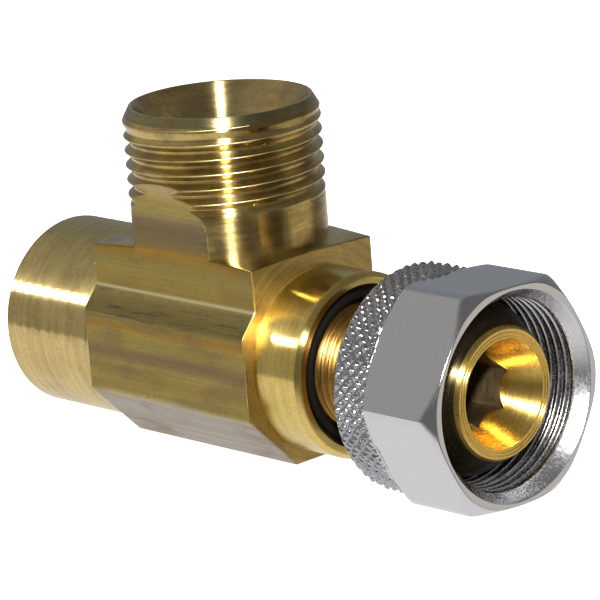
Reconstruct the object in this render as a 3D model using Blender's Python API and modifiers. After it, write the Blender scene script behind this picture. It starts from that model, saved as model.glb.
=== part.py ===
"""Brass tee fitting, M20 x 1.5: two male ports, and a swivel nut on a screwed-in tail.

The run lies along X with the swivel nut at +X, and the branch stands up along Z. The body is one
piece of brass bar, extruded along X and then turned about X and about Z. Dimensions are in metres.
Every piece is modelled about the crossing of the run and branch axes, and placed by its location,
so that the assembly's origin is under the middle of its bounding box.
"""
import math

import bmesh
import bpy
from mathutils import Matrix, Vector

MM = 0.001

# Body bar: an octagon with a slab on top, which flares to the branch's full diameter.
BAR_FLAT = 10.25 * MM          # axis to each flat of the octagon
BAR_SLAB = 8.3 * MM            # half width of the slab under the branch
BAR_FLARE_LOW = 13.0 * MM      # height where the slab's sides start to lean out
BAR_FLARE_TOP = 18.4 * MM      # height where they reach the branch's radius
BODY_LEFT = -12.0 * MM
BODY_RIGHT = 11.7 * MM
SHOULDER_Z = 11.35 * MM        # the turned shoulder beside the branch
SHOULDER_DROP = 0.55 * MM      # how far its outer corners fall away

# Male ports, M20 x 1.5, each with a 60 degree seat in its mouth.
PORT_R = 9.95 * MM
PORT_ROOT_R = 9.1 * MM
PORT_PITCH = 1.5 * MM
PORT_TIP_R = 9.3 * MM
LEFT_ROOT_R = 9.7 * MM         # the left port's thread is a shallow one
LEFT_END = -25.6 * MM
BRANCH_TOP = 25.3 * MM
LEFT_RIDGES = 7
BRANCH_RIDGES = 6
MOUTH_R = 8.7 * MM
BORE_R = 5.0 * MM

# Round boss that takes the tail.
BOSS_R = 9.4 * MM
BOSS_END = 18.3 * MM
BOSS_GROOVE_R = 8.9 * MM
RECESS_R = 7.95 * MM
RECESS_X = 16.9 * MM

# Tail: threaded shank, flange, cone nose and hexagon socket.
TAIL_PITCH = 1.0 * MM
TAIL_CREST_R = 6.42 * MM
TAIL_ROOT_R = 5.86 * MM
THREAD_GAP = 0.1 * MM          # clearance between the tail's thread and the boss's
TAIL_BACK = 7.4 * MM
TAIL_THREAD = (8.4 * MM, 24.4 * MM)
BOSS_THREAD = (5.4 * MM, 19.4 * MM)
SHANK_R = 6.5 * MM
FLANGE_R = 8.9 * MM
FLANGE_BACK = 28.0 * MM
FLANGE_FRONT = 30.4 * MM
CONE_BACK = 33.3 * MM
CONE_BACK_R = 8.6 * MM
NOSE_X = 37.1 * MM
NOSE_R = 6.4 * MM
CONE_MOUTH_R = 5.4 * MM
SOCKET_FLAT = 3.23 * MM        # axis to each flat of the hexagon socket
SOCKET_END = 24.0 * MM
SOCKET_TURN = math.radians(77.6)
TAIL_BORE_R = 3.1 * MM

# Swivel nut: knurled collar behind, hexagon in front.
NUT_BACK = 24.6 * MM
NUT_FRONT = 38.75 * MM
COLLAR_R = 11.5 * MM
COLLAR_FRONT = 29.0 * MM
NECK_R = 11.0 * MM
HEX_FLAT = 10.85 * MM
HEX_BACK = 29.6 * MM
HEX_TURN = math.radians(-2.0)
FACE_R = 10.6 * MM
NUT_MOUTH_R = 10.2 * MM
NUT_MINOR_R = 9.2 * MM
NUT_MAJOR_R = 9.95 * MM
NUT_THREAD_TURNS = 4
CAVITY_R = 9.45 * MM
CAVITY_BACK = 27.6 * MM
REAR_BORE_R = 6.95 * MM

# O-ring in the boss's recess, round the tail's shank.
RING_R = 7.21 * MM
RING_SECTION = 0.46 * MM
RING_X = 17.75 * MM

# Place of the axes' crossing in the assembly's frame.
CROSSING = Vector((-(LEFT_END + NUT_FRONT) / 2, 0, COLLAR_R))

# Facets in a turn.
FINE = 48
PORT_STEPS = 32
THREAD_STEPS = 20

for old in list(bpy.data.objects):
    bpy.data.objects.remove(old, do_unlink=True)

PARTS = bpy.data.collections.new("tee_fitting")
CUTTERS = bpy.data.collections.new("cutters")
for collection in (PARTS, CUTTERS):
    bpy.context.scene.collection.children.link(collection)


def make_material(name, colour, roughness, metallic):
    material = bpy.data.materials.new(name)
    material.use_nodes = True
    shader = material.node_tree.nodes["Principled BSDF"]
    shader.inputs["Base Color"].default_value = (*colour, 1)
    shader.inputs["Roughness"].default_value = roughness
    shader.inputs["Metallic"].default_value = metallic
    return material


def add(name, mesh, collection, material=None):
    obj = bpy.data.objects.new(name, mesh)
    collection.objects.link(obj)
    obj.location = CROSSING
    if collection is CUTTERS:
        obj.hide_render = True
        obj.display_type = 'WIRE'
    if material:
        mesh.materials.append(material)
    return obj


def turned(name, profile, axis, collection, steps=FINE, material=None):
    """A solid of revolution about X or Z. The profile lists (radius, height), highest first."""
    mesh = bpy.data.meshes.new(name)
    mesh.from_pydata([(r, 0, h) for r, h in profile],
                     [(i, i + 1) for i in range(len(profile) - 1)], [])
    obj = add(name, mesh, collection, material)
    if axis == 'X':
        obj.rotation_euler = (0, math.pi / 2, 0)
    screw = obj.modifiers.new("turn", 'SCREW')
    screw.steps = screw.render_steps = steps
    screw.use_merge_vertices = True
    screw.merge_threshold = 1e-7
    return obj


def prism(name, outline, x0, x1, collection, material=None):
    """An outline of (y, z) points, extruded along X."""
    shape = bmesh.new()
    face = shape.faces.new([shape.verts.new((x0, y, z)) for y, z in outline])
    grown = bmesh.ops.extrude_face_region(shape, geom=[face])
    moved = [v for v in grown["geom"] if isinstance(v, bmesh.types.BMVert)]
    bmesh.ops.translate(shape, verts=moved, vec=(x1 - x0, 0, 0))
    bmesh.ops.recalc_face_normals(shape, faces=shape.faces)
    mesh = bpy.data.meshes.new(name)
    shape.to_mesh(mesh)
    shape.free()
    return add(name, mesh, collection, material)


def polygon(flat, sides, turn):
    """A regular outline in the YZ plane, with one corner at the angle turn."""
    radius = flat / math.cos(math.pi / sides)
    return [(radius * math.cos(turn + 2 * math.pi * k / sides),
             radius * math.sin(turn + 2 * math.pi * k / sides)) for k in range(sides)]


def threaded_rod(name, start, end, ends, root, crest, pitch, widen, collection, material=None):
    """A closed rod along X with a right-hand thread from start to end, plain out to both ends.

    Each turn has a root flat, two 30 degree flanks and a crest flat. The first and last half turns
    rise out of and sink into the root. widen moves both flanks outwards, for a cutter.
    """
    depth = crest - root
    flank = depth * math.tan(math.radians(30)) / pitch
    land = (1 - 2 * flank) / 2
    grow = widen / pitch
    phases = [(0.0, 0), (land - grow, 0), (land - grow + flank, 1), (2 * land + flank + grow, 1)]
    phases = [(p + grow / 2, level) for p, level in phases]
    per_turn = len(phases)
    turns = int(round((end - start) / pitch))
    rows = turns * per_turn
    shape = bmesh.new()

    def point(i, j):
        angle = 2 * math.pi * i / THREAD_STEPS
        turn = j // per_turn + phases[j % per_turn][0]
        along = turn + i / THREAD_STEPS
        rise = max(0.0, min(1.0, (along - 1.0) * 2, (turns - along) * 2))
        radius = root + depth * phases[j % per_turn][1] * rise
        return (start + along * pitch, radius * math.cos(angle), radius * math.sin(angle))

    grid = [[shape.verts.new(point(i, j)) for j in range(rows + 1)] for i in range(THREAD_STEPS)]
    grid[0] += [shape.verts.new(point(0, j)) for j in range(rows + 1, rows + per_turn + 1)]
    low, high = [], []
    for i in range(THREAD_STEPS):
        angle = 2 * math.pi * i / THREAD_STEPS
        y, z = root * math.cos(angle), root * math.sin(angle)
        low.append(shape.verts.new((ends[0], y, z)))
        high.append(shape.verts.new((ends[1], y, z)))
    for i in range(THREAD_STEPS):
        last = i == THREAD_STEPS - 1
        here, there = grid[i], grid[(i + 1) % THREAD_STEPS]
        shift = per_turn if last else 0
        for j in range(rows):
            shape.faces.new((here[j], here[j + 1], there[j + 1 + shift], there[j + shift]))
        k = (i + 1) % THREAD_STEPS
        seam = [grid[0][j] for j in range(per_turn, -1, -1)] if last else [there[0]]
        shape.faces.new([low[i], here[0]] + seam + [low[k]])
        top = here[rows]
        if i == 0:
            fan = [grid[0][j] for j in range(rows + per_turn, rows - 1, -1)]
            shape.faces.new([high[0]] + fan + [there[rows], high[1]])
        else:
            far = there[rows + per_turn] if last else there[rows]
            shape.faces.new([high[i], top, far, high[k]])
    shape.faces.new(low)
    shape.faces.new(high)
    bmesh.ops.recalc_face_normals(shape, faces=shape.faces)
    mesh = bpy.data.meshes.new(name)
    shape.to_mesh(mesh)
    shape.free()
    return add(name, mesh, collection, material)


def boolean(obj, operation, other):
    modifier = obj.modifiers.new(operation.lower(), 'BOOLEAN')
    modifier.operation = operation
    modifier.solver = 'EXACT'
    modifier.object = other


def ridges(first, count, root=PORT_ROOT_R):
    """Profile points down a threaded wall: count ridges below the height first."""
    points = []
    for k in range(count):
        top = first - k * PORT_PITCH
        points += [(PORT_R, top), (PORT_R, top - 0.25 * MM),
                   (root, top - 0.72 * MM), (root, top - 1.0 * MM)]
    points.append((PORT_R, first - count * PORT_PITCH))
    return points


def mouth(name, tip, bottom, axis, back=False):
    """A cutter for a port's bore with a 60 degree seat at its tip."""
    run = (MOUTH_R - BORE_R) / math.tan(math.radians(30))
    over = 0.6 * MM
    flare = over * math.tan(math.radians(30))
    profile = [(0, tip + over), (MOUTH_R + flare, tip + over), (BORE_R, tip - run),
               (BORE_R, bottom), (0, bottom)]
    if back:
        profile = [(r, -h) for r, h in reversed(profile)]
    return turned(name, profile, axis, CUTTERS, PORT_STEPS)


# --- Body ---------------------------------------------------------------------------------------
brass = make_material("turned_brass", (0.72, 0.56, 0.24), 0.3, 1.0)
half = BAR_FLAT * math.tan(math.pi / 8)
under = half + BAR_FLAT - BAR_SLAB
side = [(-half, -BAR_FLAT), (-BAR_FLAT, -half), (-BAR_FLAT, half), (-BAR_SLAB, under),
        (-BAR_SLAB, BAR_FLARE_LOW), (-PORT_R - 0.2 * MM, BAR_FLARE_TOP + 0.5 * MM),
        (-PORT_R - 0.2 * MM, 28 * MM)]
bar = side + [(-y, z) for y, z in reversed(side)]
tee_body = prism("tee_body", bar, -28 * MM, 21 * MM, PARTS, brass)

wide = 30 * MM
corner = math.hypot(BODY_LEFT, BAR_SLAB)
slope = SHOULDER_DROP / (corner - PORT_R)
branch_profile = [(0, BRANCH_TOP), (PORT_TIP_R, BRANCH_TOP), (PORT_R, BRANCH_TOP - 0.5 * MM)]
branch_profile += ridges(BRANCH_TOP - 0.9 * MM, BRANCH_RIDGES)
branch_profile += [(PORT_R, SHOULDER_Z), (wide, SHOULDER_Z - slope * (wide - PORT_R)),
                   (wide, -wide), (0, -wide)]
branch_turn = turned("branch_turning", branch_profile, 'Z', CUTTERS, PORT_STEPS)

left_profile = [(PORT_TIP_R, LEFT_END), (PORT_R, LEFT_END + 0.5 * MM)]
left_profile += [(r, 2 * LEFT_END + 0.9 * MM - h) for r, h in ridges(LEFT_END, LEFT_RIDGES, LEFT_ROOT_R)]
left_profile = [(0, LEFT_END)] + left_profile + [(PORT_R, BODY_LEFT), (wide, BODY_LEFT)]
right_profile = [(0, BOSS_END), (BOSS_R - 0.5 * MM, BOSS_END), (BOSS_R, BOSS_END - 0.5 * MM),
                 (BOSS_R, BODY_RIGHT + 1.2 * MM), (BOSS_GROOVE_R, BODY_RIGHT + 0.8 * MM),
                 (BOSS_GROOVE_R, BODY_RIGHT), (wide, BODY_RIGHT)]
run_turn = turned("run_turning", right_profile + left_profile[::-1], 'X', CUTTERS, PORT_STEPS)

recess = turned("recess_cutter", [(0, 20 * MM), (RECESS_R, 20 * MM), (RECESS_R, RECESS_X),
                                  (0, RECESS_X)], 'X', CUTTERS, FINE)
tap = threaded_rod("boss_tap", BOSS_THREAD[0], BOSS_THREAD[1], (4.2 * MM, 20.6 * MM),
                   TAIL_ROOT_R + THREAD_GAP, TAIL_CREST_R + THREAD_GAP, TAIL_PITCH,
                   THREAD_GAP, CUTTERS)
for cutter, operation in ((branch_turn, 'INTERSECT'), (run_turn, 'INTERSECT'),
                          (mouth("run_bore", LEFT_END * -1, -6 * MM, 'X', True), 'DIFFERENCE'),
                          (mouth("branch_bore", BRANCH_TOP, -1 * MM, 'Z'), 'DIFFERENCE'),
                          (recess, 'DIFFERENCE'), (tap, 'DIFFERENCE')):
    boolean(tee_body, operation, cutter)

# --- Tail ---------------------------------------------------------------------------------------
gold = make_material("polished_brass", (0.80, 0.58, 0.16), 0.2, 1.0)
swivel_tail = threaded_rod("swivel_tail", TAIL_THREAD[0], TAIL_THREAD[1], (TAIL_BACK, 27 * MM),
                           TAIL_ROOT_R, TAIL_CREST_R, TAIL_PITCH, 0, PARTS, gold)
head = turned("tail_head", [(0, NOSE_X), (NOSE_R, NOSE_X), (CONE_BACK_R, CONE_BACK),
                            (CONE_BACK_R, FLANGE_FRONT), (FLANGE_R, FLANGE_FRONT),
                            (FLANGE_R, FLANGE_BACK), (SHANK_R, FLANGE_BACK),
                            (SHANK_R, 24.9 * MM), (0, 24.9 * MM)], 'X', CUTTERS, FINE)
cone_run = CONE_MOUTH_R / math.tan(math.radians(30))
nose_cone = turned("nose_cone", [(0, NOSE_X + 1 * MM),
                                 (CONE_MOUTH_R + 1 * MM * math.tan(math.radians(30)), NOSE_X + 1 * MM),
                                 (0, NOSE_X - cone_run)], 'X', CUTTERS, FINE)
socket = prism("hexagon_socket", polygon(SOCKET_FLAT, 6, SOCKET_TURN), SOCKET_END, 38 * MM, CUTTERS)
tail_bore = turned("tail_bore", [(0, 30 * MM), (TAIL_BORE_R, 30 * MM), (TAIL_BORE_R, 6 * MM),
                                 (0, 6 * MM)], 'X', CUTTERS, 24)
boolean(swivel_tail, 'UNION', head)
boolean(swivel_tail, 'DIFFERENCE', nose_cone)
boolean(swivel_tail, 'DIFFERENCE', socket)
boolean(swivel_tail, 'DIFFERENCE', tail_bore)

# --- Nut ----------------------------------------------------------------------------------------
chrome = make_material("chrome_plate", (0.78, 0.78, 0.80), 0.12, 1.0)
swivel_nut = prism("swivel_nut", polygon(HEX_FLAT, 6, HEX_TURN), HEX_BACK, NUT_FRONT, PARTS, chrome)
hex_corner = HEX_FLAT / math.cos(math.pi / 6)
fall = (hex_corner + 0.3 * MM - FACE_R) * math.tan(math.radians(30))
rear = (hex_corner + 0.3 * MM - NECK_R) * math.tan(math.radians(30))
chamfers = turned("hexagon_chamfers", [(0, NUT_FRONT + 1 * MM), (FACE_R - 1.732 * MM, NUT_FRONT + 1 * MM),
                                       (hex_corner + 0.3 * MM, NUT_FRONT - fall),
                                       (hex_corner + 0.3 * MM, HEX_BACK + 0.2 * MM + rear),
                                       (NECK_R, HEX_BACK + 0.2 * MM), (NECK_R, HEX_BACK - 1 * MM),
                                       (0, HEX_BACK - 1 * MM)], 'X', CUTTERS, FINE)
collar = turned("knurl_collar", [(0, HEX_BACK + 1.5 * MM), (HEX_FLAT - 0.5 * MM, HEX_BACK + 1.5 * MM),
                                 (NECK_R, COLLAR_FRONT + 0.5 * MM), (COLLAR_R, COLLAR_FRONT),
                                 (COLLAR_R, NUT_BACK + 0.4 * MM), (COLLAR_R - 0.4 * MM, NUT_BACK),
                                 (0, NUT_BACK)], 'X', CUTTERS, FINE)
inside = [(0, NUT_FRONT + 1 * MM), (NUT_MOUTH_R + 1 * MM, NUT_FRONT + 1 * MM),
          (NUT_MAJOR_R, NUT_FRONT - 0.25 * MM), (NUT_MAJOR_R, NUT_FRONT - 0.9 * MM)]
for k in range(NUT_THREAD_TURNS):
    top = NUT_FRONT - 1.35 * MM - k * PORT_PITCH
    inside += [(NUT_MINOR_R, top), (NUT_MINOR_R, top - 0.3 * MM),
               (NUT_MAJOR_R, top - 0.75 * MM), (NUT_MAJOR_R, top - 1.05 * MM)]
inside += [(CAVITY_R, NUT_FRONT - 1.8 * MM - NUT_THREAD_TURNS * PORT_PITCH), (CAVITY_R, CAVITY_BACK),
           (REAR_BORE_R, CAVITY_BACK), (REAR_BORE_R, NUT_BACK - 1 * MM), (0, NUT_BACK - 1 * MM)]
nut_bore = turned("nut_bore", inside, 'X', CUTTERS, PORT_STEPS)
boolean(swivel_nut, 'INTERSECT', chamfers)
boolean(swivel_nut, 'UNION', collar)
boolean(swivel_nut, 'DIFFERENCE', nut_bore)

# --- O-ring -------------------------------------------------------------------------------------
rubber = make_material("black_rubber", (0.02, 0.02, 0.022), 0.45, 0.0)
bpy.ops.mesh.primitive_torus_add(major_radius=RING_R, minor_radius=RING_SECTION, major_segments=40,
                                 minor_segments=8, location=CROSSING)
ring = bpy.context.object
ring.name = ring.data.name = "tail_o_ring"
ring.data.transform(Matrix.Translation((RING_X, 0, 0)) @ Matrix.Rotation(math.pi / 2, 4, 'Y'))
ring.data.materials.append(rubber)
for holder in list(ring.users_collection):
    holder.objects.unlink(ring)
PARTS.objects.link(ring)

for obj in PARTS.objects:
    obj.data.shade_smooth()
    obj.data.set_sharp_from_angle(angle=math.radians(30))
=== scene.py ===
"""Looks for the brass tee fitting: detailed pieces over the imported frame, with a floor, lights and camera.

Shapes are written in millimetres about the crossing of the run and branch axes, X along the run and
Z up the branch. A turned surface is a grid of rings; a threaded one is a grid that follows its helix.
"""

import math

import bmesh
import bpy
import numpy as np
from mathutils import Matrix, Vector


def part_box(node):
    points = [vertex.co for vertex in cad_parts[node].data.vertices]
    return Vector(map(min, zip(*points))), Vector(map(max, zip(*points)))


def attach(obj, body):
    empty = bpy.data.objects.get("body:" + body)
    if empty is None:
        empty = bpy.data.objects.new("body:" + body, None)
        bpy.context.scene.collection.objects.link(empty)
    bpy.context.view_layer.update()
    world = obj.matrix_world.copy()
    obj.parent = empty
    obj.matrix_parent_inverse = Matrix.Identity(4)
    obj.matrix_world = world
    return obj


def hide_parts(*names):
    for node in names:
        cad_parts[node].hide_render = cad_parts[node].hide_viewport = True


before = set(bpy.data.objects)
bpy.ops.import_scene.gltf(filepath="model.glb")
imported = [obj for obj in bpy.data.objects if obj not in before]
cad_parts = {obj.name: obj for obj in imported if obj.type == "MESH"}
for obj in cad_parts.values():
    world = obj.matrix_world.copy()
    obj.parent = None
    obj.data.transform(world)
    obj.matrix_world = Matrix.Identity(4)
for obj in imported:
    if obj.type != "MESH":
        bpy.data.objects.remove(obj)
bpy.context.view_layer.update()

MM = 0.001
PORT_PITCH, FINE_PITCH = 1.5, 1.0     # both ports; the tail and, by its looks, the nut
PORT_R = 9.93
BORE = 5.0
LEFT_REACH, BRANCH_REACH = 25.6, 25.3
MOUTH = 8.95                          # radius of each port's cone mouth at its face
MOUTH_DEPTH = (MOUTH - BORE) / math.tan(math.radians(30))
BRANCH_COLUMNS, RUN_COLUMNS, TAIL_COLUMNS, NUT_COLUMNS = 384, 360, 288, 864
body_low, body_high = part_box("tee_body")
CROSSING = Vector((body_low.x + LEFT_REACH * MM, 0, body_high.z - BRANCH_REACH * MM))


# --- Shape tools --------------------------------------------------------------------------------
def soft_min(a, b, blend):
    h = np.clip(0.5 + 0.5 * (b - a) / blend, 0, 1)
    return b * (1 - h) + a * h - blend * h * (1 - h)


def soft_max(a, b, blend):
    return -soft_min(-np.asarray(a, float), -np.asarray(b, float), blend)


def ramp(x, low, high):
    t = np.clip((np.asarray(x, float) - low) / (high - low), 0, 1)
    return t * t * (3 - 2 * t)


def rounded(points, closed=False, steps=3):
    """Polyline through (a, b) or (a, b, radius) points, each corner rounded to its radius."""
    out, n = [], len(points)
    for i, p in enumerate(points):
        here = np.array(p[:2], float)
        radius = p[2] if len(p) > 2 else 0
        if radius <= 0 or (not closed and i in (0, n - 1)):
            out.append(here)
            continue
        a = np.array(points[i - 1][:2], float) - here
        b = np.array(points[(i + 1) % n][:2], float) - here
        la, lb = np.linalg.norm(a), np.linalg.norm(b)
        a, b = a / la, b / lb
        if a @ b < -0.9999:
            out.append(here)
            continue
        half = math.acos(max(-1, min(1, float(a @ b)))) / 2
        reach = min(radius / math.tan(half), 0.49 * la, 0.49 * lb)
        r = reach * math.tan(half)
        middle = (a + b) / np.linalg.norm(a + b)
        centre = here + middle * (r / math.sin(half))
        s, e = here + a * reach - centre, here + b * reach - centre
        for k in range(steps + 1):
            t = k / steps
            v = s * (1 - t) + e * t
            out.append(centre + v / np.linalg.norm(v) * r)
    return np.array(out)


def dense(line, step):
    """The same polyline with no stretch longer than step."""
    out = [line[0]]
    for a, b in zip(line[:-1], line[1:]):
        n = max(1, int(math.ceil(np.linalg.norm(b - a) / step)))
        out += [a + (b - a) * k / n for k in range(1, n + 1)]
    return np.array(out)


class Skin:
    """Grids of points in millimetres, welded into one mesh where their edges meet."""

    def __init__(self):
        self.points, self.faces, self.count = [], [], 0

    def sheet(self, grid, shift=0):
        """grid is rows x columns x 3. The last column joins the first, shift rows on."""
        rows, columns = grid.shape[:2]
        index = self.count + np.arange(rows * columns).reshape(rows, columns)
        after = np.roll(index, -1, axis=1)
        after[:, -1] = index[np.minimum(np.arange(rows) + shift, rows - 1), 0]
        quads = np.stack([index[:-1], after[:-1], after[1:], index[1:]], -1).reshape(-1, 4)
        self.points.append(grid.reshape(-1, 3))
        self.faces.append(quads)
        self.count += rows * columns

    def build(self, name, body, materials, stands_for=None, pick=None):
        """Welds the grids into a piece. pick gives a face's material from its centre and normal."""
        points = np.concatenate(self.points) * MM + np.array(CROSSING)
        mesh = bpy.data.meshes.new(name)
        mesh.from_pydata(points.tolist(), [], np.concatenate(self.faces).tolist())
        shape = bmesh.new()
        shape.from_mesh(mesh)
        bmesh.ops.remove_doubles(shape, verts=shape.verts, dist=2e-7)
        loose = [v for v in shape.verts if not v.link_faces]
        bmesh.ops.delete(shape, geom=loose, context='VERTS')
        bmesh.ops.recalc_face_normals(shape, faces=shape.faces)
        if pick:
            for face in shape.faces:
                face.material_index = pick((face.calc_center_median() - CROSSING) / MM, face.normal)
        shape.to_mesh(mesh)
        shape.free()
        mesh.shade_smooth()
        for material in materials:
            mesh.materials.append(material)
        piece = bpy.data.objects.new(name, mesh)
        bpy.context.scene.collection.objects.link(piece)
        weighted = piece.modifiers.new("weighted", 'WEIGHTED_NORMAL')
        weighted.weight = 60
        weighted.keep_sharp = True
        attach(piece, body)
        if stands_for:
            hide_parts(stands_for)
        return piece


def about(axis, along, radius, angle):
    """Points at (along, radius, angle) about X or Z, the three arrays of one shape."""
    along, radius, angle = np.broadcast_arrays(along, radius, angle)
    a, b = radius * np.cos(angle), radius * np.sin(angle)
    return np.stack([along, a, b] if axis == 'X' else [a, b, along], -1)


def angles(count):
    return np.arange(count) * 2 * math.pi / count


def rings(skin, axis, line, count, limit=None):
    """A turned surface from a profile line of (along, radius)."""
    along, radius = line[:, :1], line[:, 1:]
    turn = angles(count)[None]
    radius = radius + 0 * turn
    if limit:
        radius = limit(along + 0 * turn, radius, turn)
    skin.sheet(about(axis, along, radius, turn))


def helix(skin, axis, low, high, count, per_turn, radius_of, phase, pitch):
    """A right-hand thread from low to high. radius_of(along, distance from the crest, angle)."""
    first = math.floor((low - phase) / pitch) - 1
    rows = (int(math.ceil((high - low) / pitch)) + 3) * per_turn
    steps = (np.arange(rows + 1) / per_turn)[:, None]
    turn = angles(count)[None]
    along = phase + (first + steps + turn / (2 * math.pi)) * pitch
    along = np.clip(along, low, high)
    crest = (along - phase) / pitch - turn / (2 * math.pi)
    off = np.abs(crest - np.round(crest)) * pitch
    skin.sheet(about(axis, along, radius_of(along, off, turn), turn), shift=per_turn)


def tooth(off, blend=0.12, crest=0.11):
    """Height of a port-pitch thread form by distance: 1 on the crest's flat, 0 in the root."""
    return soft_max(soft_min((0.60 - off) / (0.60 - crest), 1.0, blend), 0.0, blend)


# --- Material tools -----------------------------------------------------------------------------
class Paint:
    """A node material, in a few calls."""

    def __init__(self, name):
        self.material = bpy.data.materials.new(name)
        self.material.use_nodes = True
        self.tree = self.material.node_tree
        self.shader = self.tree.nodes["Principled BSDF"]
        self.place = self.node("ShaderNodeTexCoord").outputs["Object"]

    def put(self, value, socket):
        if isinstance(value, bpy.types.NodeSocket):
            self.tree.links.new(value, socket)
        else:
            socket.default_value = value

    def node(self, kind, **settings):
        made = self.tree.nodes.new(kind)
        for key, value in settings.items():
            setattr(made, key, value)
        return made

    def math(self, operation, a, b=0.0, c=0.0, clamp=False):
        made = self.node("ShaderNodeMath", operation=operation, use_clamp=clamp)
        for value, socket in zip((a, b, c), made.inputs):
            self.put(value, socket)
        return made.outputs[0]

    def scaled(self, vector, factors, shift=(0, 0, 0)):
        made = self.node("ShaderNodeMapping")
        self.put(vector, made.inputs["Vector"])
        made.inputs["Location"].default_value = shift
        made.inputs["Scale"].default_value = factors
        return made.outputs[0]

    def noise(self, vector, scale, detail=2.0, rough=0.5, warp=0.0):
        made = self.node("ShaderNodeTexNoise")
        self.put(vector, made.inputs["Vector"])
        made.inputs["Scale"].default_value = scale
        made.inputs["Detail"].default_value = detail
        made.inputs["Roughness"].default_value = rough
        made.inputs["Distortion"].default_value = warp
        return made.outputs["Fac"]

    def between(self, value, low, high, to_low=0.0, to_high=1.0):
        made = self.node("ShaderNodeMapRange")
        for v, socket in zip((value, low, high, to_low, to_high), made.inputs):
            self.put(v, socket)
        return made.outputs[0]

    def mix(self, share, a, b):
        made = self.node("ShaderNodeMix", data_type='RGBA')
        self.put(share, made.inputs["Factor"])
        self.put(a if not isinstance(a, tuple) else (*a, 1), made.inputs["A"])
        self.put(b if not isinstance(b, tuple) else (*b, 1), made.inputs["B"])
        return made.outputs["Result"]

    def turned_place(self, axis):
        """(radius, along, angle) about the piece's own axis, in metres and radians."""
        split = self.node("ShaderNodeSeparateXYZ")
        self.put(self.scaled(self.place, (1, 1, 1), tuple(-c for c in CROSSING)), split.inputs[0])
        x, y, z = split.outputs
        a, b, along = (y, z, x) if axis == 'X' else (x, y, z)
        radius = self.math('SQRT', self.math('ADD', self.math('MULTIPLY', a, a),
                                             self.math('MULTIPLY', b, b)))
        join = self.node("ShaderNodeCombineXYZ")
        for value, socket in zip((radius, along, self.math('ARCTAN2', b, a)), join.inputs):
            self.put(value, socket)
        return join.outputs[0]

    def bump(self, height, distance, strength=1.0, after=None):
        made = self.node("ShaderNodeBump")
        made.inputs["Strength"].default_value = strength
        made.inputs["Distance"].default_value = distance
        self.put(height, made.inputs["Height"])
        if after is not None:
            self.put(after, made.inputs["Normal"])
        return made.outputs[0]

    def tangent(self, axis, amount, rotation):
        made = self.node("ShaderNodeTangent", direction_type='RADIAL', axis=axis)
        self.put(made.outputs[0], self.shader.inputs["Tangent"])
        self.shader.inputs["Anisotropic"].default_value = amount
        self.shader.inputs["Anisotropic Rotation"].default_value = rotation

    def finish(self, colour, roughness, normal=None, metallic=1.0):
        self.put(colour, self.shader.inputs["Base Color"])
        self.put(roughness, self.shader.inputs["Roughness"])
        self.shader.inputs["Metallic"].default_value = metallic
        if normal is not None:
            self.put(normal, self.shader.inputs["Normal"])
        return self.material


def turned_brass(name, axis, light, dark, rough=(0.16, 0.25), marks=3e-6, brushed=0.97, stain=0.0):
    """Brass cut on a lathe: fine rings about the axis, uneven in depth, a few specks and brown stain."""
    p = Paint(name)
    ring_place = p.turned_place(axis)
    fine = p.noise(p.scaled(ring_place, (9000, 9000, 1.6)), 1.0, 3.0, 0.6)
    coarse = p.noise(p.scaled(ring_place, (1900, 1900, 0.5)), 1.0, 2.0, 0.5)
    patch = p.noise(p.scaled(p.place, (260, 260, 260)), 1.0, 4.0, 0.6, 0.4)
    speck = p.noise(p.scaled(p.place, (5200, 5200, 5200)), 1.0, 1.0, 0.5)
    share = p.math('ADD', p.math('MULTIPLY', coarse, 0.6), p.math('MULTIPLY', patch, 0.6))
    colour = p.mix(p.between(share, 0.42, 0.8), dark, light)
    if stain:
        blot = p.noise(p.scaled(p.place, (170, 170, 480)), 1.0, 4.0, 0.62, 0.5)
        colour = p.mix(p.between(blot, 0.46, 0.64, 0, stain), colour, (0.27, 0.15, 0.045))
        dull = p.noise(p.scaled(p.place, (240, 240, 300), (0.01, 0, 0.02)), 1.0, 3.0, 0.6)
        colour = p.mix(p.between(dull, 0.5, 0.66, 0, stain), colour, (0.20, 0.17, 0.10))
    colour = p.mix(p.between(speck, 0.66, 0.72), colour, tuple(c * 0.55 for c in dark))
    roughness = p.between(p.math('ADD', fine, patch), 0.7, 1.3, *rough)
    height = p.math('ADD', fine, p.math('MULTIPLY', coarse, 1.5))
    normal = p.bump(speck, 1.5e-6, 0.4, p.bump(height, marks))
    p.tangent(axis, brushed, 0.25)
    return p.finish(colour, roughness, normal)


GOLD, OLIVE, ORANGE = (0.40, 0.285, 0.07), (0.34, 0.27, 0.08), (0.42, 0.225, 0.03)
# ROSE and LIT are painted light: ROSE stands in for the pale table's reflection on the bar's lower faces, LIT
# is a painted highlight tone.
BROWN, TAN, ROSE = (0.24, 0.155, 0.08), (0.46, 0.37, 0.18), (0.36, 0.31, 0.27)
LIT, PURPLE = (0.66, 0.52, 0.21), (0.20, 0.145, 0.085)
# Tones up the bar by height: stain bands along the extrusion with painted light among them. The rose on the
# lower sloped face is a painted reflection of the table, and LIT at 6.45 is a painted highlight along the
# inner corner.
STAINS_AND_PAINTED_LIGHT = [(-10.3, ROSE), (-4.9, ROSE), (-4.4, TAN), (-3.9, OLIVE), (-2.1, GOLD), (-1.0, OLIVE), (0.0, BROWN),
         (1.0, OLIVE), (2.2, GOLD), (3.2, ORANGE), (4.0, OLIVE), (5.0, (0.36, 0.28, 0.10)),
         (5.9, (0.46, 0.36, 0.14)), (6.45, LIT), (6.85, GOLD), (8.2, GOLD), (9.4, OLIVE), (10.7, ORANGE),
         (11.6, (0.26, 0.18, 0.07)), (12.6, PURPLE), (14.2, PURPLE), (15.0, OLIVE), (16.6, GOLD), (18.0, TAN)]

# At the inner corner's height a pale highlight line is painted into the bar's colour.
SCUFF_HEIGHT, PAINTED_HIGHLIGHT_HEIGHT = 4.6, 6.44  # the bar's upper edge, and the inner corner above it


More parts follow.
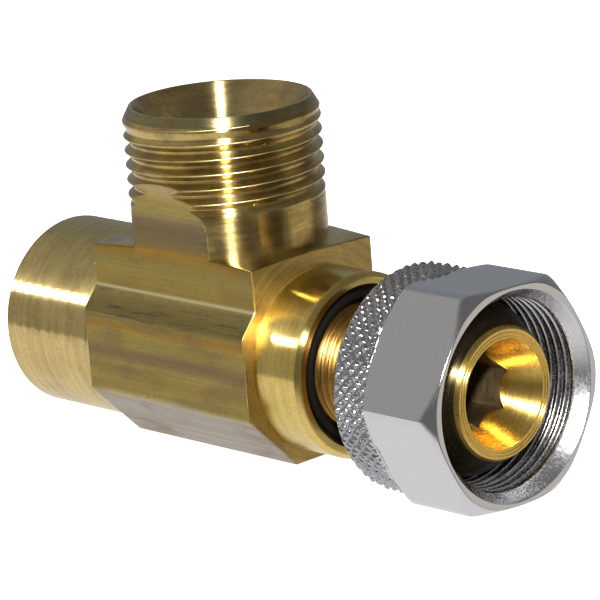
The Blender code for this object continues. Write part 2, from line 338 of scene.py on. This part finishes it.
def bar_brass(name, rough=(0.3, 0.46)):
    """Extruded skin: stain in bands along X with painted light among them, die streaks, scuffs at the edge,
    and a painted highlight line along the inner corner.
    """
    p = Paint(name)
    split = p.node("ShaderNodeSeparateXYZ")
    p.put(p.place, split.inputs[0])
    wander = p.noise(p.scaled(p.place, (38, 90, 110)), 1.0, 3.0, 0.6)
    streak = p.noise(p.scaled(p.place, (14, 900, 900)), 1.0, 3.0, 0.62)
    fine = p.noise(p.scaled(p.place, (60, 5200, 5200)), 1.0, 2.0, 0.6)
    grit = p.noise(p.scaled(p.place, (2600, 2600, 2600)), 1.0, 2.0, 0.6)
    cloud = p.noise(p.scaled(p.place, (120, 320, 320), (0.013, 0.004, 0)), 1.0, 4.0, 0.6, 0.6)
    height = p.math('ADD', split.outputs[2], p.math('MULTIPLY', p.math('SUBTRACT', wander, 0.5), 1.6 * MM))
    height = p.math('ADD', height, p.math('MULTIPLY', p.math('SUBTRACT', streak, 0.5), 1.2 * MM))
    low, high = (z * MM + CROSSING.z for z in (STAINS_AND_PAINTED_LIGHT[0][0], STAINS_AND_PAINTED_LIGHT[-1][0]))
    # These bands carry real stains plus painted light: a painted table reflection low down and a painted
    # highlight at the inner corner.
    bands = p.node("ShaderNodeValToRGB")
    p.put(p.between(height, low, high), bands.inputs[0])
    stops = bands.color_ramp.elements
    for i, (z, tone) in enumerate(STAINS_AND_PAINTED_LIGHT):
        at = (z - STAINS_AND_PAINTED_LIGHT[0][0]) / (STAINS_AND_PAINTED_LIGHT[-1][0] - STAINS_AND_PAINTED_LIGHT[0][0])
        stop = stops[i] if i < 2 else stops.new(at)
        stop.position = at
        stop.color = (*tone, 1)
    colour = p.mix(p.between(streak, 0.35, 0.65, 0, 0.28), bands.outputs[0], OLIVE)
    colour = p.mix(p.between(cloud, 0.5, 0.72, 0, 0.6), colour, BROWN)
    colour = p.mix(p.between(fine, 0.3, 0.7, 0.28, 0), colour, (0.16, 0.12, 0.05))
    colour = p.mix(p.between(grit, 0.56, 0.75, 0, 0.4), colour, (0.15, 0.11, 0.05))
    scuff = p.noise(p.scaled(p.place, (210, 2300, 2300)), 1.0, 4.0, 0.75, 0.5)
    from_edge = p.math('ABSOLUTE', p.math('SUBTRACT', height, SCUFF_HEIGHT * MM + CROSSING.z))
    edge = p.between(from_edge, 0.3 * MM, 1.5 * MM, 1, 0)
    scuff = p.math('MULTIPLY', p.between(scuff, 0.53, 0.6), p.math('MAXIMUM', edge, 0.12))
    colour = p.mix(p.math('MULTIPLY', scuff, 0.75), colour, (0.13, 0.12, 0.08))
    # Painted highlight: a pale line along the inner corner, standing in for the lamp's reflection there.
    corner = p.math('ABSOLUTE', p.math('SUBTRACT', split.outputs[2], PAINTED_HIGHLIGHT_HEIGHT * MM + CROSSING.z))
    colour = p.mix(p.between(corner, 0.06 * MM, 0.2 * MM, 0.8, 0), colour, (0.95, 0.82, 0.48))
    roughness = p.between(p.math('ADD', streak, cloud), 0.75, 1.25, *rough)
    relief = p.math('ADD', p.math('MULTIPLY', streak, 2.0), p.math('ADD', fine, grit))
    normal = p.bump(p.math('SUBTRACT', relief, scuff), 6e-6)
    p.tangent('X', 0.5, 0.0)
    return p.finish(colour, roughness, normal)


def plated(name, tint, rough, marks=1.2e-6):
    """Chrome plate over a polished blank: slight waviness, fine lines and pinpricks."""
    p = Paint(name)
    wave = p.noise(p.scaled(p.place, (330, 330, 330)), 1.0, 1.0, 0.5)
    ring_place = p.turned_place('X')
    line = p.noise(p.scaled(ring_place, (7000, 7000, 2.0)), 1.0, 2.0, 0.5)
    grain = p.noise(p.scaled(p.place, (3800, 3800, 3800)), 1.0, 2.0, 0.6)
    colour = p.mix(p.between(grain, 0.3, 0.7), tuple(c * 0.93 for c in tint), tint)
    roughness = p.between(p.math('ADD', wave, grain), 0.8, 1.2, *rough)
    normal = p.bump(wave, 6e-6, 0.5, p.bump(p.math('ADD', line, grain), marks))
    return p.finish(colour, roughness, normal)


brass_about_z = turned_brass("brass_branch", 'Z', (0.66, 0.50, 0.18), (0.40, 0.29, 0.10), stain=0.6)
brass_about_x = turned_brass("brass_run", 'X', (0.71, 0.55, 0.23), (0.50, 0.38, 0.15), stain=0.15)
brass_boss = turned_brass("brass_boss", 'X', (0.74, 0.56, 0.18), (0.56, 0.42, 0.12))
brass_face = turned_brass("brass_face", 'X', (0.56, 0.41, 0.15), (0.36, 0.25, 0.09),
                          (0.34, 0.48), 4e-6, 0.4)
brass_mouth = turned_brass("brass_mouth", 'Z', (0.58, 0.46, 0.20), (0.38, 0.29, 0.13),
                           (0.2, 0.3), 2e-6, 0.97, 0.35)
# Painted shade: a darker copy of the branch brass for the tip's chamfer.
brass_shade = turned_brass("brass_chamfer_shaded", 'Z', (0.36, 0.30, 0.15), (0.24, 0.19, 0.09),
                           (0.26, 0.4), 4e-6, 0.9)
# Light crest lines: partly burrs, partly a painted highlight along each thread crest.
brass_crest_burr_and_highlight = turned_brass("brass_crest_burr_and_highlight", 'Z', (0.74, 0.62, 0.36), (0.50, 0.39, 0.18),
                          (0.36, 0.5), 8e-6, 0.3)
brass_bar = bar_brass("brass_bar")
brass_tail = turned_brass("brass_tail", 'X', (0.82, 0.58, 0.17), (0.68, 0.46, 0.11),
                          (0.2, 0.32), 2e-6, 0.8)
# Painted shade: a darker copy of the tail's brass for the shank and flange, which sit between the boss and
# the nut.
brass_shank_shaded = turned_brass("brass_shank_shaded", 'X', (0.50, 0.29, 0.07), (0.24, 0.13, 0.035),
                           (0.26, 0.4), 3e-6, 0.5)
# Painted shade: a darker copy of the brass for the bores, the tail's socket and the boss's recess, where
# shade falls.
brass_bore_shaded = turned_brass("brass_bore_shaded", 'X', (0.34, 0.25, 0.12), (0.17, 0.12, 0.07),
                          (0.34, 0.52), 5e-6, 0.4)
# Painted shade: a much darker copy of the brass for the tail's outside cone, deep inside the nut.
brass_shaded_cone = turned_brass("brass_outside_cone_shaded", 'X', (0.18, 0.14, 0.07), (0.09, 0.07, 0.04),
                         (0.2, 0.34), 3e-6, 0.8)
chrome = plated("chrome_plate", (0.60, 0.60, 0.62), (0.06, 0.12))
chrome_knurl = plated("chrome_knurl", (0.40, 0.40, 0.42), (0.1, 0.2), 4e-6)
chrome_inside = plated("chrome_inside", (0.58, 0.58, 0.60), (0.2, 0.34), 8e-6)


# --- Body: bar ----------------------------------------------------------------------------------
FLAT, SLAB, LEFT, RIGHT = 10.25, 8.3, -12.0, 11.7
SHOULDER, DROP = 11.05, 0.45          # height of the turned shoulder, and its corners' fall
EDGE = 0.14                           # rounding of the bar's end edges
SEAT = 8.4                            # circle that each end face runs in to
half = FLAT * math.tan(math.pi / 8)
SLOPE = DROP / (math.hypot(LEFT, SLAB) - PORT_R)
side = [(half, -FLAT, 0.4), (FLAT, -half, 0.5), (FLAT, half, 0.9),
        (SLAB, half + FLAT - SLAB + 0.25, 0.6), (SLAB, SHOULDER, 0.17)]
outline = rounded(side + [(-y, z, r) for y, z, r in reversed(side)], closed=True, steps=5)
outline = dense(np.vstack([outline, outline[:1]]), 0.9)[:-1]
ahead = np.roll(outline, -1, axis=0) - np.roll(outline, 1, axis=0)
outward = np.stack([ahead[:, 1], -ahead[:, 0]], -1)
outward /= np.linalg.norm(outward, axis=1)[:, None]


def bar_row(x, inset):
    """One ring of the bar at x, its top following the turned shoulder."""
    y, z = (outline - outward * inset).T
    fall = SLOPE * (np.hypot(x, y) - PORT_R)
    z = np.where(z > 8, z - fall * np.clip((z - 8) / (SHOULDER - 8), 0, 1), z)
    return np.stack([np.full_like(y, x), y, z], -1)


rim = [(EDGE * math.sin(a), EDGE * (1 - math.cos(a))) for a in np.linspace(0, math.pi / 2, 5)]
rows = [(LEFT + EDGE - out, inset) for out, inset in rim][::-1]
rows += [(x, 0.0) for x in np.linspace(LEFT + 0.5, RIGHT - 0.5, 48)]
rows += [(RIGHT - EDGE + out, inset) for out, inset in rim]
rows = [bar_row(x, inset) for x, inset in rows]


def inward(row, share):
    """A ring of the bar's end face, share of the way in from its edge to a circle."""
    made = row.copy()
    made[:, 1:] *= 1 - share + share * SEAT / np.linalg.norm(row[:, 1:], axis=1)[:, None]
    return made


steps_in = (0.04, 0.15, 0.4, 0.7, 1.0)
rows = [inward(rows[0], s) for s in steps_in[::-1]] + rows + [inward(rows[-1], s) for s in steps_in]


def bar_part(c, n):
    """0 extruded skin, 1 turned shoulder, 2 end faces."""
    if n.z > 0.9 and c.z > 9:
        return 1
    return 2 if abs(n.x) > 0.9 else 0


skin = Skin()
skin.sheet(np.array(rows))
bar = skin.build("tee_bar", "tee", [brass_bar, brass_about_z, brass_face], "tee_body",
                 bar_part)
UNDER_BRANCH = 9.0                    # the shoulder inside this radius is covered by the branch
shape = bmesh.new()
shape.from_mesh(bar.data)
hidden = [f for f in shape.faces if f.normal.z > 0.9
          and all((v.co - CROSSING).to_2d().length < UNDER_BRANCH * MM for v in f.verts)]
bmesh.ops.delete(shape, geom=hidden, context='FACES')
shape.to_mesh(bar.data)
shape.free()

# --- Body: branch -------------------------------------------------------------------------------
TOP, RIM = BRANCH_REACH, 9.3
CHAMFER_LOW, CHAMFER_SLOPE = 24.4, 0.55
CREST, BRANCH_PHASE = 10.04, 22.88    # thread crests' radius, and the height of one crest at angle 0
THREAD_LOW, THREAD_DEPTH, BORE_TOP = 15.0, 0.66, 17.5
FLARE, FLARE_SLOPE = 14.4, 0.3136     # where the bar's flat sides start to lean out, and how much


def flat_lean(z):
    """How far the branch's flat stands out beyond the slab at a height."""
    return soft_max((z - FLARE) * FLARE_SLOPE, 0.0, 0.3)


def slab_limit(z, radius, turn):
    """Cuts a radius back to the branch's two flats, whose upper edge is slightly torn."""
    lean = flat_lean(z)
    torn = 0.05 * np.sin(z * 5.1 + 1) * np.sin(z * 13.7) + 0.05 * np.sin(z * 2.3)
    lean = lean + torn * ramp(np.cos(turn), 0.45, 0.6) * ramp(z, 11.2, 12.0)
    proud = 0.006 * ramp(z, 9.6, 10.8) - 0.002
    flat = (SLAB + proud + lean) / np.maximum(np.abs(np.sin(turn)), 1e-3)
    return soft_min(radius, flat, 0.03)


def branch_thread(z, off, turn):
    """Full depth between a run-out above the foot and a fade under the chamfer."""
    depth = THREAD_DEPTH * ramp(z, THREAD_LOW, 16.6) * ramp(-z, -24.9, -21.0)
    bulge = (CREST - PORT_R) * ramp(z, 15.2, 16.4)
    radius = PORT_R + bulge - depth * (1 - tooth(off, 0.05, 0.05))
    return slab_limit(z, np.minimum(radius, RIM + (TOP - z) * CHAMFER_SLOPE), turn)


skin = Skin()
foot = rounded([(9.0, PORT_R + 0.02), (SHOULDER + 0.05, PORT_R + 0.02), (THREAD_LOW, PORT_R)])
rings(skin, 'Z', dense(foot, 0.18), BRANCH_COLUMNS, slab_limit)
helix(skin, 'Z', THREAD_LOW, CHAMFER_LOW, BRANCH_COLUMNS, 24, branch_thread, BRANCH_PHASE, PORT_PITCH)
tip = [(CHAMFER_LOW, RIM + (TOP - CHAMFER_LOW) * CHAMFER_SLOPE), (TOP, RIM, 0.1), (TOP, MOUTH + 0.04, 0.08),
       (TOP - MOUTH_DEPTH, BORE, 0.3), (BORE_TOP, BORE)]
rings(skin, 'Z', dense(rounded(tip, steps=4), 0.3), BRANCH_COLUMNS, slab_limit)
turn = angles(BRANCH_COLUMNS)[None]
drop = np.linspace(0, 1, 24)[:, None]
floor_of = np.abs(BORE * np.cos(turn))
skin.sheet(about('Z', BORE_TOP + (floor_of - BORE_TOP) * drop, BORE, turn))


def branch_part(c, n):
    """0 turned outside, 1 bar skin on the flats, 2 cone and bore, 3 crest lines, partly burrs and partly a
    painted highlight, 4 tip's chamfer.
    """
    radius, angle = math.hypot(c.x, c.y), math.atan2(c.y, c.x)
    if n.x * c.x + n.y * c.y < 0:
        return 2
    flat = SLAB + float(flat_lean(c.z))
    if abs(n.y) > 0.9 and abs(abs(c.y) - flat) < 0.12 and c.z < 20.5:
        return 1
    if c.z > CHAMFER_LOW and n.z < 0.9:
        return 4
    crest = (c.z - BRANCH_PHASE) / PORT_PITCH - angle / (2 * math.pi)
    above = (crest - round(crest)) * PORT_PITCH
    clear = abs(c.y) < flat - 0.15
    return 3 if clear and 16.5 < c.z < 24.3 and radius > 9.7 and -0.02 < above < 0.05 else 0


skin.build("branch_port", "tee",
           [brass_about_z, brass_bar, brass_mouth, brass_crest_burr_and_highlight, brass_shade], None, branch_part)

# --- Body: left port and run bore ---------------------------------------------------------------
BORE_END = 6.0                        # where the bore widens to take the tail
END, END_BORE = -LEFT_REACH, -17.5    # the port's face, and where its cone mouth has met the bore
LEFT_THREAD, LEFT_DEPTH = (-24.9, -13.2), 0.04


def left_thread(x, off, turn):
    """A worn thread, hardly more than fine rings."""
    depth = LEFT_DEPTH * ramp(x, LEFT_THREAD[0], -24.2) * ramp(-x, -LEFT_THREAD[1], 14.6)
    return PORT_R - depth * (1 - np.cos(np.clip(off / 0.75, 0, 1) * math.pi)) * 0.5


skin = Skin()
line = rounded([(END_BORE, BORE), (END + MOUTH_DEPTH, BORE, 0.3), (END, MOUTH + 0.05, 0.1),
                (END, 9.4, 0.12), (END + 0.42, PORT_R, 0.12), (LEFT_THREAD[0], PORT_R)], steps=4)
rings(skin, 'X', dense(line, 0.5), RUN_COLUMNS)
helix(skin, 'X', *LEFT_THREAD, RUN_COLUMNS, 14, left_thread, -24.3, PORT_PITCH)
groove = rounded([(LEFT_THREAD[1], PORT_R), (-12.9, PORT_R), (-12.6, PORT_R - 0.12, 0.1),
                  (-12.25, PORT_R - 0.12, 0.1), (-12.1, PORT_R), (-11, PORT_R)])
rings(skin, 'X', dense(groove, 0.3), RUN_COLUMNS)
turn = angles(RUN_COLUMNS)[None]
near = np.maximum(0.0, BORE * np.sin(turn))
share = np.linspace(0, 1, 20)[:, None]
skin.sheet(about('X', END_BORE + (-END_BORE - near) * share, BORE, turn))
skin.sheet(about('X', near + (BORE_END - near) * share, BORE, turn))
skin.build("left_port", "tee", [brass_about_x, brass_bore_shaded], None,
           lambda c, n: 1 if math.hypot(c.y, c.z) < 5.3 else 0)

# --- Body: boss ---------------------------------------------------------------------------------
BOSS, BOSS_END, RECESS, TAIL_HOLE = 9.4, 18.3, 16.9, 6.62
skin = Skin()
line = rounded([(10.5, 9.1), (11.75, 9.1, 0.05), (12.1, 9.1, 0.08), (12.4, BOSS, 0.12),
                (17.75, BOSS, 0.3), (BOSS_END, BOSS - 0.42, 0.3), (BOSS_END, 8.25, 0.12),
                (RECESS, 7.6, 0.1), (RECESS, TAIL_HOLE, 0.1), (BORE_END, TAIL_HOLE), (BORE_END, BORE)],
               steps=4)
rings(skin, 'X', dense(line, 0.35), RUN_COLUMNS)
skin.build("boss", "tee", [brass_boss, brass_bore_shaded], None,
           lambda c, n: 1 if c.x < BOSS_END - 0.05 and math.hypot(c.y, c.z) < 8.2 else 0)

# --- Tail ---------------------------------------------------------------------------------------
NOSE, SOCKET, SOCKET_END = 37.1, 3.23, 24.0
SOCKET_TURN = math.radians(77.6)
TAIL_BACK, TAIL_BORE, TAIL_ROOT = 7.4, 3.1, 5.86
TAIL_THREAD, TAIL_DEPTH = (8.4, 24.2), 0.56
RUN_OUT = 0.3                         # how far the thread's root rises towards the plain shank
SHANK, FLANGE, FLANGE_BACK, FLANGE_FRONT = 6.5, 8.9, 28.0, 30.4
CONE_MOUTH = 5.4


def tail_thread(x, off, turn):
    """Runs in from the tail's tip and out to the plain shank."""
    rise = ramp(x, TAIL_THREAD[0], 9.2) * ramp(-x, -TAIL_THREAD[1], -23.2)
    height = np.clip(tooth(off * PORT_PITCH / FINE_PITCH), 0, 1)
    return TAIL_ROOT + TAIL_DEPTH * rise * height + RUN_OUT * ramp(x, 23.2, TAIL_THREAD[1])


skin = Skin()
line = rounded([(TAIL_BACK, TAIL_BORE), (TAIL_BACK, 5.4, 0.1), (7.8, TAIL_ROOT, 0.1),
                (TAIL_THREAD[0], TAIL_ROOT)])
rings(skin, 'X', line, TAIL_COLUMNS)
helix(skin, 'X', *TAIL_THREAD, TAIL_COLUMNS, 10, tail_thread, 8.9, FINE_PITCH)
line = rounded([(TAIL_THREAD[1], TAIL_ROOT + RUN_OUT), (24.5, SHANK, 0.1), (FLANGE_BACK, SHANK, 0.1),
                (FLANGE_BACK, FLANGE, 0.12), (FLANGE_FRONT, FLANGE, 0.15), (FLANGE_FRONT, 8.6, 0.05),
                (33.3, 8.6, 0.3), (NOSE - 0.1, 6.44, 0.1), (NOSE, 6.32, 0.06),
                (NOSE, 6.12, 0.03), (NOSE - 0.09, 6.08, 0.03), (NOSE - 0.09, 5.98, 0.03),
                (NOSE - 0.02, 5.94, 0.03), (NOSE - 0.02, 5.78, 0.03), (NOSE - 0.1, 5.74, 0.03),
                (NOSE - 0.1, 5.64, 0.03), (NOSE - 0.03, 5.6, 0.03), (NOSE - 0.05, CONE_MOUTH, 0.08)],
               steps=3)
rings(skin, 'X', dense(line, 0.4), TAIL_COLUMNS)


def socket_radius(x, turn):
    """The cone mouth where it is wider than the hexagon, and the hexagon behind it."""
    corner = np.mod(turn - SOCKET_TURN + math.pi / 6, math.pi / 3) - math.pi / 6
    hexagon = SOCKET / np.cos(math.pi / 6 - np.abs(corner))
    cone = CONE_MOUTH - (NOSE - 0.05 - x) * math.tan(math.radians(30))
    return soft_max(soft_min(cone, CONE_MOUTH, 0.02), hexagon, 0.06)


turn = angles(TAIL_COLUMNS)[None]
depth = np.concatenate([np.linspace(NOSE - 0.05, 32.0, 90), np.linspace(31.7, SOCKET_END, 20)])[:, None]
skin.sheet(about('X', depth, socket_radius(depth, turn), turn))
rings_in = np.linspace(0, 1, 6)[:, None]
skin.sheet(about('X', SOCKET_END, socket_radius(SOCKET_END, turn) * (1 - rings_in) + TAIL_BORE * rings_in,
                 turn))
rings(skin, 'X', dense(np.array([(SOCKET_END, TAIL_BORE), (TAIL_BACK, TAIL_BORE)]), 1.0), TAIL_COLUMNS)


def tail_part(c, n):
    """0 nose ring and cone, 1 socket and bore, 2 shank and flange, 3 outside cone."""
    radius = math.hypot(c.y, c.z)
    if n.y * c.y + n.z * c.z < 0 or (radius < 5.0 and c.x < 35):
        return 0 if n.x > 0.3 else 1
    if c.x > NOSE - 0.35:
        return 0
    return 3 if c.x > FLANGE_FRONT - 0.1 else 2


skin.build("swivel_tail_turned", "tail", [brass_tail, brass_bore_shaded, brass_shank_shaded, brass_shaded_cone],
           "swivel_tail", tail_part)

# --- Nut ----------------------------------------------------------------------------------------
BACK, FRONT = 24.6, 38.75
HEX, HEX_TURN, HEX_BACK, FACE = 10.85, math.radians(-2.0), 29.4, 11.1
FRONT_BEVEL, REAR_BEVEL = math.radians(38), math.radians(30)
KNURLS, COLLAR, COLLAR_FRONT, NECK = 60, 11.45, 29.2, 11.1
KNURL_ROW, KNURL_DEPTH = 1.15, 0.42
REAR_BORE, CAVITY, CAVITY_BACK = 6.95, 9.6, 27.6
LIP_OUT, LIP_IN, LIP = 10.4, 9.42, 1.45       # countersunk lip of the mouth: radii and depth
THREAD_BACK, THREAD_ROOT, NUT_DEPTH = 30.4, 9.9, 0.5


def knurl_radius(x, turn):
    """Diamond knurl, its lines wandering and its points crushed by different amounts."""
    across = turn * KNURLS / (2 * math.pi)
    along = (x - BACK) / KNURL_ROW
    sway = 0.10 * np.sin(turn * 7 + along * 1.3) + 0.07 * np.sin(turn * 19 - along * 2.1)
    a = np.abs(np.mod(across + along + sway, 1) - 0.5) * 2
    b = np.abs(np.mod(across - along - sway * 0.7 + 0.2, 1) - 0.5) * 2
    crush = (0.72 + 0.16 * np.sin(turn * 23 + along * 5.1) + 0.12 * np.sin(turn * 41 - along * 3.7 + 1.0)
             + 0.08 * np.sin(turn * 67 + along * 8.3 + 2.0))
    grain = 0.09 * np.sin(across * 11.3 + 7.1 * along) * np.sin(along * 13.1 - across * 9.7)
    high = np.clip(np.minimum(soft_min(a, b, 0.3) * 1.25 + grain, crush), 0, 1)
    return COLLAR - KNURL_DEPTH * (0.95 - high)


turn = angles(NUT_COLUMNS)[None]
skin = Skin()

# Collar: the knurl with its rear edge chamfered, and a slope down to the neck in front.
REAR_EDGE = 0.2
xs = np.linspace(BACK + REAR_EDGE, COLLAR_FRONT, 55)[:, None]
band = knurl_radius(xs, turn)
band = soft_min(band, COLLAR - 0.75 + (xs - BACK) * 0.9, 0.2)
band = soft_min(band, NECK + (COLLAR_FRONT + 0.1 - xs) * 1.3, 0.1)
skin.sheet(about('X', xs, band, turn))

# Rear face, from the bore out to the collar.
back = np.linspace(0, 1, 8)[:, None]
rear = BACK + REAR_EDGE * (1 - np.minimum(1, (1 - back) * 5))
skin.sheet(about('X', rear, REAR_BORE + (band[:1] - REAR_BORE) * back, turn))

# Hexagon: rounded corners, cut by a cone in front and one behind.
xs = np.concatenate([np.linspace(COLLAR_FRONT, HEX_BACK + 2.2, 46),
                     np.linspace(HEX_BACK + 2.3, FRONT - 2.4, 40),
                     np.linspace(FRONT - 2.3, FRONT - 0.06, 50)])[:, None]
corner = np.mod(turn - HEX_TURN + math.pi / 6, math.pi / 3) - math.pi / 6
hexagon = HEX / np.cos(math.pi / 6 - np.abs(corner))
hexagon = soft_min(hexagon, HEX / math.cos(math.pi / 6) - 0.25, 0.35)
front_cut = FACE + (FRONT - xs) / math.tan(FRONT_BEVEL)
rear_cut = NECK + np.maximum(xs - HEX_BACK, 0) / math.tan(REAR_BEVEL)
outer = soft_min(soft_min(hexagon, front_cut, 0.7), rear_cut, 0.28)
join = ramp(xs, COLLAR_FRONT, HEX_BACK)
outer = np.where(xs < HEX_BACK, band[-1:] * (1 - join) + outer * join, outer)
skin.sheet(about('X', xs, outer, turn))

# Front face, and the lip that leads in to the thread.
last = outer[-1]
lip = rounded([(FRONT, LIP_OUT + 0.15), (FRONT, LIP_OUT, 0.06), (FRONT - LIP, LIP_IN)], steps=3)
grid = [about('X', x, r, turn[0]) for x, r in
        ((FRONT - 0.06, last), (FRONT - 0.015, last - 0.05), (FRONT, last - 0.12))]
grid += [about('X', x, r, turn[0]) for x, r in dense(lip, 0.25)]
skin.sheet(np.array(grid))


def nut_thread(x, off, turn):
    """Crests at the lip's inner radius, cut outwards, with a run-out at both ends."""
    inside = ramp(x, THREAD_BACK, THREAD_BACK + 0.8)
    depth = NUT_DEPTH * ramp(-x, LIP - FRONT, LIP + 0.6 - FRONT) * inside
    crest = THREAD_ROOT + (LIP_IN - THREAD_ROOT) * inside
    return crest + depth * (1 - tooth(off * PORT_PITCH / FINE_PITCH, 0.1, 0.3))


helix(skin, 'X', THREAD_BACK, FRONT - LIP, NUT_COLUMNS, 14, nut_thread, 36.2, FINE_PITCH)
line = rounded([(THREAD_BACK, THREAD_ROOT), (30.1, THREAD_ROOT), (29.9, CAVITY, 0.1),
                (CAVITY_BACK, CAVITY, 0.15), (CAVITY_BACK, REAR_BORE, 0.1), (BACK + 0.1, REAR_BORE, 0.1),
                (BACK, REAR_BORE)], steps=3)
rings(skin, 'X', dense(line, 0.4), NUT_COLUMNS)


def nut_part(c, n):
    """0 hexagon, 1 inside, 2 knurled collar."""
    if n.y * c.y + n.z * c.z < 0 and c.x < FRONT - 0.05:
        return 1
    return 2 if c.x < COLLAR_FRONT and math.hypot(c.y, c.z) > 10.2 else 0


skin.build("swivel_nut_plated", "nut", [chrome, chrome_inside, chrome_knurl],
           "swivel_nut", nut_part)

# --- O-ring -------------------------------------------------------------------------------------
p = Paint("rubber")
grain = p.noise(p.scaled(p.place, (2500, 2500, 2500)), 1.0, 3.0, 0.6)
film = p.noise(p.scaled(p.place, (500, 500, 500)), 1.0, 2.0, 0.6)
p.shader.inputs["Specular IOR Level"].default_value = 0.05
rubber = p.finish(p.mix(film, (0.002, 0.0018, 0.0015), (0.005, 0.0042, 0.003)),
                  p.between(grain, 0.3, 0.7, 0.6, 0.85), p.bump(grain, 6e-6), 0.0)
RING_X, RING_R, SECTION, SEAM = 17.75, 7.21, 0.46, 0.012
skin = Skin()
wall = np.linspace(0, 2 * math.pi, 25)[:, None]
section = SECTION + SEAM * np.exp(-((np.mod(wall, math.pi) - math.pi / 2) / 0.08) ** 2)
skin.sheet(about('X', RING_X + section * np.sin(wall), RING_R + section * np.cos(wall), angles(200)[None]))
skin.build("o_ring", "ring", [rubber], "tail_o_ring")

# --- Floor, light and camera --------------------------------------------------------------------
mesh = bpy.data.meshes.new("floor")
shape = bmesh.new()
bmesh.ops.create_circle(shape, cap_ends=True, segments=96, radius=4.0)
shape.to_mesh(mesh)
shape.free()
floor = bpy.data.objects.new("floor", mesh)
bpy.context.scene.collection.objects.link(floor)
floor.location.z = -0.02 * MM
p = Paint("floor_paper")
tone = p.noise(p.scaled(p.place, (30, 30, 30)), 1.0, 3.0, 0.5)
p.shader.inputs["Emission Color"].default_value = (1.0, 0.99, 1.0, 1)
p.shader.inputs["Emission Strength"].default_value = 0.97
mesh.materials.append(p.finish(p.mix(tone, (0.80, 0.80, 0.81), (0.84, 0.84, 0.85)), 0.9, None, 0.0))
floor.visible_glossy = False

world = bpy.data.worlds.new("room")
bpy.context.scene.world = world
world.use_nodes = True
tree = world.node_tree
background = tree.nodes["Background"]
coordinate = tree.nodes.new("ShaderNodeTexCoord")


def toward(direction, low, high, curve='SMOOTHSTEP'):
    """0 to 1 as the view direction's share along a vector goes from low to high."""
    dot = tree.nodes.new("ShaderNodeVectorMath")
    dot.operation = 'DOT_PRODUCT'
    tree.links.new(coordinate.outputs["Generated"], dot.inputs[0])
    dot.inputs[1].default_value = direction
    share = tree.nodes.new("ShaderNodeMapRange")
    share.interpolation_type = curve
    tree.links.new(dot.outputs["Value"], share.inputs["Value"])
    share.inputs["From Min"].default_value = low
    share.inputs["From Max"].default_value = high
    return share.outputs[0]


def blended(share, a, b):
    """a to b, each a colour or a socket, by share."""
    mixed = tree.nodes.new("ShaderNodeMix")
    mixed.data_type = 'RGBA'
    tree.links.new(share, mixed.inputs["Factor"])
    for value, socket in ((a, mixed.inputs["A"]), (b, mixed.inputs["B"])):
        if isinstance(value, tuple):
            socket.default_value = (*value, 1)
        else:
            tree.links.new(value, socket)
    return mixed.outputs["Result"]


def lobe(direction, width, colour, base):
    """Adds a soft patch of light, width degrees in radius, to the colour so far."""
    near = toward(Vector(direction).normalized(), math.cos(math.radians(width)), 1.0, 'SMOOTHERSTEP')
    return blended(near, base, colour)


# A dim room, paler at the left and back, over a white table whose near left part is in shade.
room = lobe((-1, -0.6, 0.6), 90, (0.46, 0.45, 0.43), (0.18, 0.18, 0.18))
room = lobe((-0.7, 0.66, 0.2), 60, (0.27, 0.29, 0.31), room)
table = blended(toward((-0.55, -0.1, -1.0), 0.0, 0.65), (0.2, 0.19, 0.18), (1.0, 0.98, 0.98))
room = blended(toward((0, 0, -1), 0.155, 0.195), room, table)
room = lobe((0.62, 0.74, -0.25), 28, (0.75, 0.71, 0.64), room)
tree.links.new(room, background.inputs["Color"])
background.inputs["Strength"].default_value = 1.0


def lamp(name, place, target, size, power):
    light = bpy.data.lights.new(name, 'AREA')
    light.shape = 'DISK'
    light.size = size
    light.energy = power
    holder = bpy.data.objects.new(name, light)
    bpy.context.scene.collection.objects.link(holder)
    holder.location = place
    holder.rotation_euler = (Vector(target) - Vector(place)).to_track_quat('-Z', 'Y').to_euler()
    return holder


# A flash above the camera gives the narrow highlights; the side lamp lights only what is turned about X.
middle = Vector((0, 0, 0.015))
lamp("flash", middle + Vector((0.635, -0.590, 0.47)) * 0.5, middle, 0.035, 6.0)
side_lamp = lamp("left_lamp", middle + Vector((-0.86, -0.425, 0.28)) * 0.8, middle, 0.08, 4.0)
turned_along_run = bpy.data.collections.new("turned_along_run")
for name in ("left_port", "boss", "swivel_tail_turned"):
    turned_along_run.objects.link(bpy.data.objects[name])
side_lamp.light_linking.receiver_collection = turned_along_run

camera = bpy.data.cameras.new("camera")
camera.sensor_width = 36
camera.lens = 235.73
camera.clip_start, camera.clip_end = 0.01, 20
holder = bpy.data.objects.new("camera", camera)
bpy.context.scene.collection.objects.link(holder)
place = (0.28184, -0.259161, 0.116977)
right, up, look = (0.69315, 0.71677, -0.07608), (-0.13185, 0.22985, 0.96425), (0.70863, -0.65834, 0.25382)
holder.matrix_world = Matrix([(right[i], up[i], look[i], place[i]) for i in range(3)]
                             + [(0, 0, 0, 1)])
bpy.context.scene.camera = holder
bpy.context.scene.view_settings.view_transform = 'Standard'
